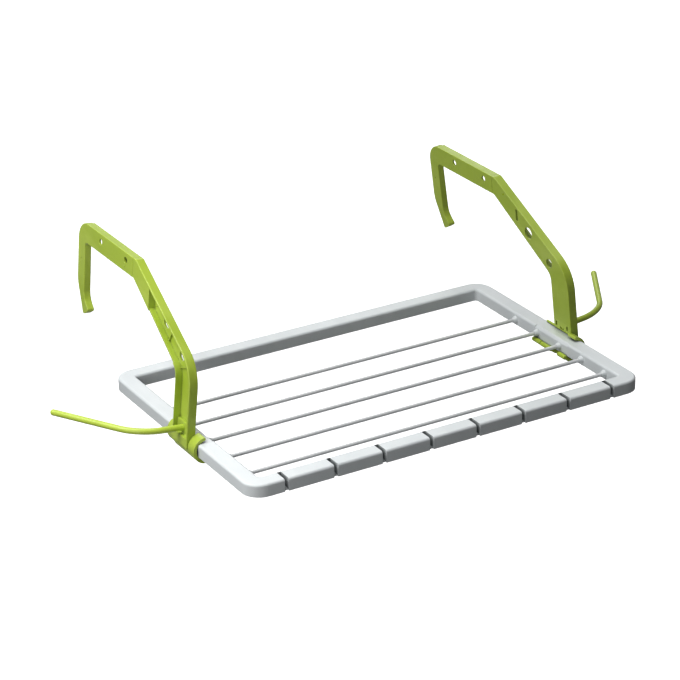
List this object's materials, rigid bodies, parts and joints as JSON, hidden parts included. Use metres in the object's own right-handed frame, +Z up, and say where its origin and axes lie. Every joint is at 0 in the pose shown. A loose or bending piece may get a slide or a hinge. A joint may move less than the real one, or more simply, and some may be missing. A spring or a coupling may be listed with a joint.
{
  "type": "hang-over drying rack",
  "caption": "Hang-over drying rack: hollow rail frame with rods and hanger notches, fold-down side arms with sliding hooks, swing-out side rods.",
  "frame": {"origin": "middle of the line on which the undersides of the two hooks hang", "axes": "+X along the drying rods, +Y from the front rail towards what the rack hangs on, +Z up"},
  "size_m": [0.8118, 0.4682, 0.2037],
  "materials": {
    "white_plastic": "smooth moulded, cool white",
    "coated_rod": "light grey coating, satin",
    "green_plastic": "fine moulded texture, lime green",
    "green_rod": "smooth, lime green",
    "natural_plastic": "natural, unpigmented"
  },
  "bodies": {
    "frame": {"frame": "white_plastic", "drying_rod_1": "coated_rod", "drying_rod_2": "coated_rod", "drying_rod_3": "coated_rod", "drying_rod_4": "coated_rod", "drying_rod_5": "coated_rod", "left_front_collar": "green_plastic", "left_rear_collar": "green_plastic", "right_front_collar": "green_plastic", "right_rear_collar": "green_plastic"},
    "left_arm": {"left_arm": "green_plastic", "left_reach_latch": "natural_plastic", "left_rod_retainer": "green_plastic"},
    "left_hook": {"left_hook": "green_plastic"},
    "left_side_rod": {"left_side_rod": "green_rod"},
    "right_arm": {"right_arm": "green_plastic", "right_reach_latch": "natural_plastic", "right_rod_retainer": "green_plastic"},
    "right_hook": {"right_hook": "green_plastic"},
    "right_side_rod": {"right_side_rod": "green_rod"}
  },
  "joints": [
    {"name": "left_arm_fold", "type": "hinge", "parent": "frame", "child": "left_arm", "pos_m": [-0.2687, -0.24, -0.16049], "axis": [0, 1, 0], "range_deg": [-6, 82]},
    {"name": "left_hook_slide", "type": "slide", "parent": "left_arm", "child": "left_hook", "axis": [0, 1, 0], "range_m": [0, 0.045]},
    {"name": "left_side_rod_swivel", "type": "hinge", "parent": "left_arm", "child": "left_side_rod", "pos_m": [-0.27992, -0.239, -0.14192], "axis": [0.9945, 0, -0.1045], "range_deg": [-90, 90]},
    {"name": "right_arm_fold", "type": "hinge", "parent": "frame", "child": "right_arm", "pos_m": [0.2687, -0.24, -0.16049], "axis": [0, -1, 0], "range_deg": [-6, 82]},
    {"name": "right_hook_slide", "type": "slide", "parent": "right_arm", "child": "right_hook", "axis": [0, 1, 0], "range_m": [0, 0.045]},
    {"name": "right_side_rod_swivel", "type": "hinge", "parent": "right_arm", "child": "right_side_rod", "pos_m": [0.27992, -0.239, -0.14192], "axis": [0.9945, 0, 0.1045], "range_deg": [-90, 90]}
  ]
}
